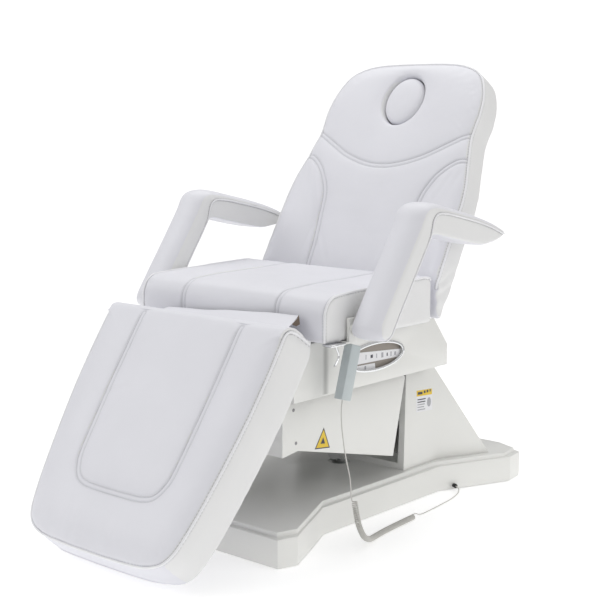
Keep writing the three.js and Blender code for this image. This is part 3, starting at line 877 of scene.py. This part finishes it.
def make_back():
    outline = rounded_outline(BACK_OUTLINE, 12)
    profile = [(8, -80), (2, -76), (2, -24), (3, -15), (8, -7), (16, -3), (30, 0)]
    mesh = ring_solid("back_cover", outline, profile)
    points = read_points(mesh)
    slope_foot(points)
    write_points(mesh, points)
    piece = soft_start("back_cover", mesh)
    cut_face_hole(piece)
    remeshed(piece, VOXEL)
    relax(piece, 2)
    mesh = piece.data
    points = read_points(mesh)
    slope_foot(points)
    # The sides are deeper towards the head end.
    deeper = 0.17 * np.clip((points[:, 1] / MM - 120) / 280, 0, 1)
    points[:, 2] *= np.where(points[:, 2] < 0, 1 + deeper, 1)
    write_points(mesh, points)
    head_seam = HEAD_SEAM_HALF + mirrored(reversed(HEAD_SEAM_HALF[:-1]))
    seams = [head_seam, BACK_SIDE_SEAM, mirrored(BACK_SIDE_SEAM)]
    seams = [smooth_line(millimetres(seam), 8 * MM) for seam in seams]
    flat = points[:, :2]
    held = np.where(points[:, 2] < -68 * MM, 1.0, 0.0)
    front = points[:, 2] > -20 * MM
    for seam in seams:
        held = np.where(front & (distance_to_line(flat, seam) < 7 * MM), 0.9, held)
    oval_u, oval_v = (half * MM for half in FACE_HOLE_HALF)
    oval = np.hypot(flat[:, 0] / oval_u, (flat[:, 1] - FACE_HOLE_V * MM) / oval_v)
    held = np.where(oval < 1.1, 1.0, held)
    held = np.where(points[:, 1] < 20 * MM, 1.0, held)
    edge = distance_to_line(flat, [p * MM for p in outline])
    held = np.where((edge < 6 * MM) & (points[:, 2] < 0) & (points[:, 2] > -22 * MM), 0.8, held)
    held = np.where((edge < 9 * MM) & (points[:, 2] <= -22 * MM), 0.9, held)
    puff(piece, held)
    relax(piece, 3)

    def wrinkles(points, normals):
        u, v = points[:, 0], points[:, 1]
        facing = np.clip(normals[:, 2], 0, 1)
        side = np.clip(np.abs(normals[:, 0]) - 0.5, 0, 0.5) * 2
        low = np.exp(-((v - 0.0) / 0.075) ** 2)
        folds = np.sin(points[:, 2] * 130 + v * 120 + 4.5 * noise_at(points, 18, 3))
        waist = np.exp(-((v - 0.17) / 0.10) ** 2) * np.clip(1 - np.abs(u) / 0.2, 0, 1)
        soft = noise_at(points * np.array([0.45, 1.6, 1]), 16, 5)
        return (1.5 * MM * folds * side * low + 1.1 * MM * soft * waist * facing
                + 0.5 * MM * noise_at(points, 9, 8) * facing)

    finish_cover(piece, BACK, seams, wrinkles, "backrest", ["back_cushion"])
    surface = surface_of(piece)
    add_stitches("back_stitches", surface, BACK.matrix, seams, "backrest")
    rim = [BACK.place(p.x * 0.995, p.y, -11) for p in rounded_outline(BACK_OUTLINE, 8) if p.y > -20]
    rim = from_widest_gap(rim)
    piping = add_piping("back_piping", surface, rim, WELT_RADIUS, "backrest")
    press_beside(piece, [piping])
    make_two_tone(piece)


def cut_face_hole(piece):
    """Cuts the oval hole through the cover with a rounded rim."""
    profile = [(0, -95), (0, -12), (-3, -5), (-9, 2), (-18, 20)]
    cutter_mesh = ring_solid("hole_cutter", face_oval(72), profile)
    cutter = bpy.data.objects.new("hole_cutter", cutter_mesh)
    bpy.context.scene.collection.objects.link(cutter)
    modifier = piece.modifiers.new("hole", "BOOLEAN")
    modifier.operation = "DIFFERENCE"
    modifier.solver = "EXACT"
    modifier.object = cutter
    apply_modifiers(piece)
    bpy.data.objects.remove(cutter)


def make_face_plug():
    profile = [(6, -79), (1, -74), (0, -18), (1, -11), (4, -6), (10, -2.5), (20, 0), (34, 2), (50, 3)]
    mesh = ring_solid("face_hole_plug_cover", face_oval(64, PLUG_CLEARANCE), profile)
    piece = soft_start("face_hole_plug_cover", mesh, 4 * MM)
    relax(piece, 3)
    subdivide(piece)
    piece.data.transform(BACK.matrix)
    shade(piece.data, 60)
    declare_padded(piece, "plug", ["face_hole_plug"])


LEG_HALF = 310
LEG_OUTLINE = [
    (250, 27), (283, 25), (301, 13), (309, -12), (LEG_HALF, -60), (LEG_HALF, -120), (305, -230), (289, -380),
    (271, -490), (250, -553), (206, -587), (118, -600),
]
LEG_SEAM_HALF = [(165, 0), (164, -180), (158, -355), (148, -402), (128, -430), (98, -441), (50, -444)]
# How far the legrest's top edge reaches and rolls over, and how far back its cover goes.
LEG_TOP, LEG_ROLL, LEG_BACK = 27, 36, -107
LEG_WELT_INSET, LEG_WELT_DEPTH = 15, -11
FLOOR_GAP = 14


def make_leg():
    outline = rounded_outline(LEG_OUTLINE, 12)
    profile = [(8, LEG_BACK), (2, -103), (4, -70), (8, -40), (12, -22), (16, -10), (23, -3), (38, 0)]
    piece = soft_start("leg_cover", ring_solid("leg_cover", outline, profile))
    mesh = piece.data
    points = read_points(mesh)
    # The top edge rolls over to the back: in side view its corner is drawn in to a quarter circle.
    roll = LEG_ROLL * MM
    centre = np.array([LEG_TOP * MM - roll, -roll])
    corner = points[:, 1:] - centre
    size = np.linalg.norm(corner, axis=1)
    outside = (corner.min(axis=1) > 0) & (size > roll)
    points[outside, 1:] = centre + corner[outside] * (roll / size[outside])[:, None]
    # The foot's lower back edge is cut off level, just clear of the floor.
    slope = LEG.matrix.to_3x3()
    heights = LEG.matrix.translation.z + points @ np.array(slope)[2]
    points[:, 2] += np.clip(FLOOR_GAP * MM - heights, 0, None) / slope[2][2]
    write_points(mesh, points)
    relax(piece, 2)
    mesh = piece.data
    points = read_points(mesh)
    seam = LEG_SEAM_HALF + mirrored(reversed(LEG_SEAM_HALF))
    seam = smooth_line(millimetres(seam), 8 * MM)
    flat = points[:, :2]
    held = np.where(points[:, 2] < (LEG_BACK + 10) * MM, 1.0, 0.0)
    held = np.where((points[:, 2] > -40 * MM) & (distance_to_line(flat, seam) < 7 * MM), 0.9, held)
    edge = distance_to_line(flat, [p * MM for p in outline])
    held = np.where((edge < 20 * MM) & (points[:, 2] < -4 * MM) & (points[:, 2] > -22 * MM), 0.8, held)
    held = np.where((edge < 15 * MM) & (points[:, 2] <= -22 * MM), 0.9, held)
    puff(piece, held)
    relax(piece, 3)

    def wrinkles(points, normals):
        u, v = points[:, 0], points[:, 1]
        facing = np.clip(normals[:, 2], 0, 1)
        foot = np.exp(-((v + 0.53) / 0.05) ** 2) * np.clip(1 - np.abs(u) / 0.2, 0, 1)
        folds = noise_at(points * np.array([3.4, 0.8, 1]), 13, 2)
        inner = np.clip(1 - np.abs(u) / 0.16, 0, 1) * np.exp(-((v + 0.41) / 0.05) ** 2)
        drape = noise_at(points * np.array([2.6, 0.8, 1]), 12, 4)
        # Two shallow pulls run in from the left seam.
        pulls = sum(np.exp(-(((v + at / 1000) - 0.45 * (u + 0.16)) / 0.007) ** 2) for at in (95, 215))
        pulls = pulls * np.exp(-((u + 0.13) / 0.05) ** 2)
        return facing * (2.6 * MM * folds * foot + 1.4 * MM * drape * inner
                         + 0.5 * MM * noise_at(points, 9, 6) - 1.4 * MM * pulls)

    finish_cover(piece, LEG, [seam], wrinkles, "legrest", ["leg_cushion"])
    surface = surface_of(piece)
    add_stitches("leg_stitches", surface, LEG.matrix, [seam], "legrest")
    line = inset(rounded_outline(LEG_OUTLINE, 8), LEG_WELT_INSET)
    rim = from_widest_gap([LEG.place(p.x, p.y, LEG_WELT_DEPTH) for p in line if p.y < LEG_TOP - LEG_ROLL])
    # At the top, each side panel's welt arches over the rolled edge and runs on to the back.
    turns, arch, back_run = 9, LEG_ROLL + LEG_WELT_DEPTH, 16
    for end in (0, -1):
        sign = 1 if rim[end].x > 0 else -1
        corner = []
        for k in range(1, turns + 1):
            angle = math.pi / 2 * k / turns
            up, back = arch * (math.sin(angle) - 1), arch * (math.cos(angle) - 1)
            u, v, n = LEG_HALF - LEG_WELT_INSET, LEG_TOP + LEG_WELT_DEPTH + up, LEG_WELT_DEPTH + back
            corner.append(LEG.place(sign * u, v, n))
        for k in range(1, 5):
            u, v, n = LEG_HALF - LEG_WELT_INSET / 3, LEG_TOP - 6, -LEG_ROLL - back_run * k
            corner.append(LEG.place(sign * u, v, n))
        rim = list(reversed(corner)) + rim if end == 0 else rim + corner
    piping = add_piping("leg_piping", surface, rim, WELT_RADIUS, "legrest")
    press_beside(piece, [piping])
    make_two_tone(piece)


SEAT_SEAM = 158 * MM


def seat_stitch_run(surface, x):
    """Where a stitch line at x runs over the seat: up the front and round its edge, then along the top."""
    core = Vector((x, FRONT + 0.09, 0.54))
    rays = []
    for k in range(60):
        angle = math.radians(200 - 90 * k / 59)
        direction = Vector((0, math.cos(angle), math.sin(angle)))
        rays.append((core + direction * 0.5, -direction))
    for k in range(60):
        rays.append((Vector((x, FRONT + 0.09 + 0.33 * k / 59, 0.9)), Vector((0, 0, -1))))
    hits = [surface.ray_cast(start, direction) for start, direction in rays]
    return [(place, normal) for place, normal, _, _ in hits if place is not None]


def make_seat():
    """The seat's top and front are one strip over the foam; each side is a flat piped panel."""
    length = (SEAT_HIGH.y - SEAT_LOW.y) / MM
    # The cover is drawn down over the board's edge.
    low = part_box("seat_board")[0][2] / MM - SEAT_TOP - 0.5
    roll = 52
    side_view = [(length - 2, low), (length - 2, -14), (length - 10, -6), (length - 30, -3)]
    side_view += [(roll + 90, -6), (roll + 30, -9)]
    for k in range(1, 9):
        angle = math.pi / 2 * k / 8
        side_view.append((2 + roll - roll * math.sin(angle), -10 - roll + roll * math.cos(angle)))
    side_view += [(2, low + 8), (5, low + 2), (12, low)]
    half = SEAT_HALF / MM - 1
    rings = [(-half, 5), (-half + 3, 1.5), (-half + 8, 0), (half - 8, 0), (half - 3, 1.5), (half, 5)]
    points = []
    middle = Vector((length / 2, low / 2, 0))
    for x, shrink in rings:
        for y, z in side_view:
            inward = (middle - Vector((y, z, 0))).normalized() * shrink
            points.append(Vector((x, y + inward.x, z + inward.y)) * MM)
    mesh = closed_mesh("seat_cover", points, loft_faces(len(rings), len(side_view)))
    piece = soft_start("seat_cover", mesh)
    mesh = piece.data
    points = read_points(mesh)
    x, y, z = points.T
    held = np.where(z < (low + 6) * MM, 1.0, 0.0)
    on_strip = (z > (low + 6) * MM) & ((z > -14 * MM) | (y < 50 * MM))
    held = np.where(on_strip & (np.abs(np.abs(x) - SEAT_SEAM) < 7 * MM), 0.85, held)
    held = np.where(np.abs(x) > (half - 6) * MM, 0.85, held)
    held = np.where(y > (length - 8) * MM, 0.9, held)
    puff(piece, held, 20 * MM)
    relax(piece, 3)
    subdivide(piece)
    mesh = piece.data
    points = read_points(mesh)
    normals = read_normals(mesh)
    strip = np.clip((np.maximum(normals[:, 2], -normals[:, 1]) - 0.25) / 0.5, 0, 1)
    push, crease_shade = seam_shape(np.abs(np.abs(points[:, 0]) - SEAT_SEAM))
    ripple = noise_at(points * np.array([0.6, 1.3, 1]), 14, 9) * 0.9 * MM * np.clip(normals[:, 2], 0, 1)
    points += normals * (ripple - push * strip)[:, None]
    write_points(mesh, points)
    # The seams' painted shade, on the top and front strip.
    keep_crease_shade(mesh, SEAM_SHADE * crease_shade * strip)
    mesh.transform(SEAT.matrix)
    shade(mesh, 60)
    declare_padded(piece, "seat", ["seat_cushion"])

    surface = surface_of(piece)
    lines = [seam + side * STITCH_LINE for seam in (-SEAT_SEAM, SEAT_SEAM) for side in (-1, 1)]
    runs = [seat_stitch_run(surface, x) for x in lines]
    new_piece("seat_stitches", stitch_mesh("seat_stitches", runs), "thread", "seat")
    pipings = []
    for name, side in (("left", -1), ("right", 1)):
        line = [SEAT.place(side * (half - 1), y, z) for y, z in side_view if z > low + 1]
        line = smooth_line(line, 7 * MM)
        pipings.append(add_piping(f"seat_piping_{name}", surface, line, WELT_RADIUS, "seat"))
    press_beside(piece, pipings)
    make_two_tone(piece)


# ---------- armrests ----------
ARM_LOW, ARM_HIGH = (Vector(corner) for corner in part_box("arm_strut_right"))
ARM_IN, ARM_OUT = ARM_LOW.x / MM, ARM_HIGH.x / MM
ARM_HINGE = Vector((86, 535))
# Side view of an armrest, all the way round: (y, z, how far the cover falls away at its sides).
ARM_SIDE_VIEW = [
    (92, 508, 8), (74, 514, 14), (63, 530, 24), (66, 556, 33), (112, 624, 34), (172, 709, 34),
    (214, 770, 32), (232, 799, 28), (250, 814, 24), (275, 819, 22), (310, 815, 21), (355, 805, 20),
    (453, 783, 20), (530, 762, 20), (572, 745, 15), (591, 731, 7), (590, 723, 3), (575, 715, 2),
    (545, 707, 2), (505, 702, 2), (474, 702, 2), (400, 716, 2), (330, 731, 2), (282, 741, 2),
    (262, 733, 2), (240, 701, 2), (180, 615, 2), (135, 551, 2), (120, 526, 3), (108, 512, 5),
]
# The welt's route: up the strut's back from its foot, over the knee, then along the pad's top to its tip.
ARM_WELT_ROUTE = [
    (96, 509), (112, 516), (122, 530), (137, 554), (181, 617), (241, 703), (257, 730), (265, 755),
    (272, 778), (290, 791), (330, 789), (400, 775), (467, 760), (530, 742), (570, 727), (588, 722),
]


def closed_line(points, step):
    """Points every step along a closed Catmull-Rom line."""
    points = [Vector(p) for p in points]
    looped = smooth_line([*points[-2:], *points, *points[:2]], step)
    first = min(range(len(looped)), key=lambda i: (looped[i] - points[0]).length)
    last = min(range(first + 4, len(looped)), key=lambda i: (looped[i] - points[0]).length)
    return looped[first:last]


def arm_outline(reach):
    """The armrest's side view, moved in by a share of how far the cover falls away."""
    line = closed_line(ARM_SIDE_VIEW, 9)
    flat = [Vector((p.x, p.y, 0)) for p in line]
    count = len(line)
    moved = []
    for i, (point, full) in enumerate(zip(flat, line)):
        tangent = (flat[(i + 1) % count] - flat[i - 1]).normalized()
        moved.append(point + Vector((tangent.y, -tangent.x, 0)) * full.z * reach)
    return moved


def make_arm(name, side):
    """A half-round arm: its cover is full along the middle and falls away to a welt along each side."""
    half = (ARM_OUT - ARM_IN) / 2 - 1
    middle = (ARM_IN + ARM_OUT) / 2
    rings = 13
    points = []
    for r in range(rings):
        angle = math.pi * (r / (rings - 1) - 0.5)
        fall = 1 - math.cos(angle) ** 0.85 if 0 < r < rings - 1 else 1.0
        for place in arm_outline(fall):
            across = middle + half * math.sin(angle)
            points.append(chair(side * across, place.x, place.y))
    mesh = closed_mesh(f"arm_cover_{name}", points, loft_faces(rings, len(points) // rings))
    piece = soft_start(f"arm_cover_{name}", mesh, 4 * MM)
    subdivide(piece)
    mesh = piece.data
    points = read_points(mesh)
    normals = read_normals(mesh)
    points += normals * (0.35 * MM * noise_at(points, 18, 4 + side))[:, None]
    knee = chair(0, 268, 760)
    reach = np.hypot(points[:, 1] - knee.y, points[:, 2] - knee.z)
    crumple = np.exp(-(reach / 0.03) ** 2) * noise_at(points * np.array([0.5, 1, 1]), 60, 3)
    points += normals * (0.9 * MM * crumple)[:, None]
    write_points(mesh, points)
    shade(mesh, 55)
    body = f"armrest_{name}"
    declare_padded(piece, body, [f"arm_strut_{name}", f"arm_pad_{name}"])

    surface = surface_of(piece)
    pipings = []
    for place, x in (("outer", ARM_OUT - 1.5), ("inner", ARM_IN + 1.5)):
        line = smooth_line([chair(x * side, y, z) for y, z in ARM_WELT_ROUTE], 6 * MM)
        pipings.append(add_piping(f"arm_piping_{name}_{place}", surface, line, ARM_WELT_RADIUS, body))
    press_beside(piece, pipings)
    make_two_tone(piece, 0.8)
    make_pivot_knob(name, side)


def make_pivot_knob(name, side):
    """The black cap on the armrest's bracket, between the strut and the seat."""
    middle_y, middle_z, foot = ARM_HINGE.x + 30, ARM_HINGE.y + 2, 321.8
    profile = [(0, 0), (11, 0), (12.5, 1.5), (12.5, 5), (10.5, 7.5), (5, 8.6), (0, 9)]
    sides = 24
    points = [chair(side * (foot - height), middle_y + radius * y, middle_z + radius * z)
              for radius, height in profile for y, z in circle(sides)]
    mesh = mesh_from(f"pivot_cap_{name}", points, loft_faces(len(profile), sides, capped=False))
    bm = bmesh.new()
    bm.from_mesh(mesh)
    bmesh.ops.remove_doubles(bm, verts=bm.verts, dist=1e-6)
    bmesh.ops.recalc_face_normals(bm, faces=bm.faces)
    bm.to_mesh(mesh)
    bm.free()
    shade(mesh, 40)
    new_piece(f"pivot_cap_{name}", mesh, "black_plastic", "seat")


def make_flap():
    """A strip of vinyl that closes the gap between the legrest's top and the seat's front."""
    section = [
        (-72, 533), (-60, 539), (-48, 545), (-37, 551), (-27, 557), (-19, 562), (-14, 566), (-11, 569),
    ]
    left, right, columns = -190, 243, 60
    points = []
    for k in range(columns + 1):
        x = left + (right - left) * k / columns
        wave = 1.6 * math.sin(x / 61) + 0.8 * math.sin(x / 23 + 1)
        # It is cut to a wedge, 28 mm lower at the left.
        drop = 28 * (1 - k / columns) + 2
        for row, (y, z) in enumerate(section):
            points.append(chair(x, y, z + (wave - drop) * row / len(section)))
    rows = len(section)
    faces = [(c * rows + r, c * rows + r + 1, (c + 1) * rows + r + 1, (c + 1) * rows + r)
             for c in range(columns) for r in range(rows - 1)]
    mesh = mesh_from("leg_flap", points, faces)
    flap = new_piece("leg_flap", mesh, "upholstery", None)
    thickness = flap.modifiers.new("thickness", "SOLIDIFY")
    thickness.thickness = 1.2 * MM
    thickness.offset = 0
    apply_modifiers(flap)
    shade(flap.data, 50)
    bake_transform(flap)
    # The turned-in lining shows at the flap's right end.
    fold = [(right - 1, y, z - 1) for y, z in section[3:]] + [(right + 9, -19, 549), (right + 6, -28, 545)]
    near, far = [chair(*p) for p in fold], [chair(x, y + 0.4, z - 1.2) for x, y, z in fold]
    mesh = plate_mesh("leg_flap_fold", near, far)
    new_piece("leg_flap_fold", mesh, "lining", "seat")


make_seat()
make_back()
make_face_plug()
make_leg()
make_arm("left", -1)
make_arm("right", 1)
make_flap()


# ---------- mouldings and mechanism ----------
# The base's underside is a rim round an opening, so its faces stay apart.
softened("base_cover", "moulding", 5 * MM, whole_underside=False)
tower_shell = softened("tower_cover", "moulding", 6 * MM)
lift_shell = softened("lift_arm_cover", "moulding", 1.6 * MM)
shroud_shell = softened("seat_shroud", "moulding", 1.7 * MM)
softened("window_bezel", "chrome", 1.2 * MM)
softened("handset_case", "handset_grey", 3.0 * MM)
for rocker in ("rocker_back", "rocker_leg", "rocker_lift"):
    softened(rocker, "key_grey", 1.0 * MM)
for board in ("seat_board", "back_board", "leg_board"):
    softened(board, "board", 2.0 * MM, segments=2)
PLAIN_FINISH = {
    "steel": [
        "base_plate", "actuator_clevis", "tower_plate_left", "tower_plate_right", "lift_arm_frame",
        "tie_frame", "seat_rail_left", "seat_rail_right", "seat_cross_front", "seat_cross_rear",
        "back_bracket_left", "back_bracket_right", "back_lever", "leg_bracket_left", "leg_bracket_right",
        "leg_lever",
    ],
    "chrome": [
        "tower_lower_shaft", "tower_upper_shaft", "seat_lower_shaft", "seat_upper_shaft", "leg_hinge_shaft",
        "back_hinge_shaft", "lift_actuator_rod", "back_actuator_rod", "leg_actuator_rod", "handset_hook",
    ],
    "rubber": ["foot_front_left", "foot_front_right", "foot_rear_left", "foot_rear_right", "cord_gland"],
    "black_plastic": ["mains_inlet", "lift_actuator_body", "back_actuator_body", "leg_actuator_body"],
}
for finish, nodes in PLAIN_FINISH.items():
    for node in nodes:
        softened(node, finish, 0.8 * MM, segments=2)
for bracket in ("arm_bracket_left", "arm_bracket_right"):
    softened(bracket, "moulding", 0.8 * MM, segments=2)


# ---------- labels, screws and the window's scale ----------
def add_decal(name, surface, outline, material, body, proud=0.3):
    """A thin plate laid on the right side of a shell; its outline is (y, z) in millimetres."""
    front, back = [], []
    for y, z in outline:
        place, normal, _, _ = surface.ray_cast(chair(600, y, z), Vector((-1, 0, 0)))
        front.append(place + normal * proud * MM)
        back.append(place - normal * 0.3 * MM)
    new_piece(name, plate_mesh(name, front, back), material, body)


def rectangle(y0, y1, z0, z1, fall=0.0):
    """A label's outline; it drops by fall per unit of length along Y."""
    return [(y0, z0), (y1, z0 - fall * (y1 - y0)), (y1, z1 - fall * (y1 - y0)), (y0, z1)]


def add_screw(name, surface, y, z, body, radius=4.2):
    """A small domed screw head on the right side of a shell."""
    place, normal, _, _ = surface.ray_cast(chair(600, y, z), Vector((-1, 0, 0)))
    across = normal.orthogonal().normalized()
    along = normal.cross(across)
    sides = 20
    rings = [(1.0, -0.4), (1.0, 0.5), (0.8, 1.3), (0.45, 1.8), (0.40, 1.2), (0.05, 1.1)]
    points = [place + ((x * across + y * along) * radius * share + normal * height) * MM
              for share, height in rings for x, y in circle(sides)]
    mesh = closed_mesh(name, points, loft_faces(len(rings), sides))
    shade(mesh, 40)
    new_piece(name, mesh, "screw", body)


def make_labels():
    tower = surface_of(tower_shell)
    add_decal("tower_label", tower, rectangle(529, 602, 231, 291, 0.07), "pale_label", "base")
    add_decal("tower_label_band", tower, rectangle(530, 601, 274, 290, 0.07), "yellow_label", "base", 0.45)
    for start, width in ((535, 22), (563, 8), (576, 8), (590, 5)):
        mark = rectangle(start, start + width, 278, 285, 0.07)
        add_decal(f"tower_label_mark_{start}", tower, mark, "dark_mark", "base", 0.6)
    for k, width in enumerate((38, 36, 33, 30, 35)):
        height = 266 - 7 * k
        bar = rectangle(534, 534 + width, height - 3, height, 0.07)
        add_decal(f"tower_label_line_{k}", tower, bar, "grey_mark" if k > 1 else "dark_mark", "base", 0.45)
    ring = [(587 + 9 * y, 250 + 13 * z) for y, z in circle(16)]
    add_decal("tower_label_sign", tower, ring, "grey_mark", "base", 0.45)
    lift = surface_of(lift_shell)
    triangle = [(84, 223), (141, 216), (118, 271)]
    middle_y, middle_z = (sum(values) / 3 for values in zip(*triangle))
    parts = [
        ("rim", 1.0, "dark_mark", 0.3),
        ("face", 0.84, "yellow_label", 0.45),
        ("mark", 0.3, "dark_mark", 0.6),
    ]
    for part, share, material, proud in parts:
        outline = [(middle_y + (y - middle_y) * share, middle_z + (z - middle_z) * share)
                   for y, z in triangle]
        add_decal(f"warning_{part}", lift, outline, material, "lift_arm", proud)
    for k, (y, z) in enumerate([(6, 334), (15, 252)]):
        add_screw(f"lift_cover_screw_{k}", lift, y, z, "lift_arm")
    shroud = surface_of(shroud_shell)
    # The shroud's upright groove is painted shade on a flat decal.
    add_decal("shroud_groove_painted_shade", shroud, rectangle(62, 92, 367, 491), "groove", "seat", 0.15)


def make_window_scale():
    """Behind the window: a dull backing, a pale scale with small marks, and a pale block below it."""
    def plate(name, outline, x0, x1, material):
        near, far = ([chair(x, y, z) for y, z in outline] for x in (x0, x1))
        new_piece(name, plate_mesh(name, near, far), material, "seat")

    plate("window_backing", rectangle(148, 392, 388, 474), 243.0, 244.0, "taupe")
    plate("window_scale", [(158, 419), (386, 414), (386, 433), (158, 451)], 244.2, 245.0, "pale_label")
    plate("window_block", [(158, 393), (277, 393), (274, 412), (158, 416)], 244.2, 245.0, "pale_label")
    marks = [(236, 3, 12), (256, 9, 8), (279, 3, 11), (300, 8, 13), (322, 4, 8), (338, 4, 12), (354, 7, 9)]
    for k, (y, width, height) in enumerate(marks):
        middle = 432 - (y - 236) * 0.06
        outline = rectangle(y, y + width, middle - height / 2, middle + height / 2)
        plate(f"window_mark_{k}", outline, 245.1, 245.4, "dark_mark" if k % 3 == 1 else "grey_mark")
    plate("window_block_mark", rectangle(232, 238, 399, 410), 245.1, 245.4, "grey_mark")


make_labels()
make_window_scale()
make_studio()
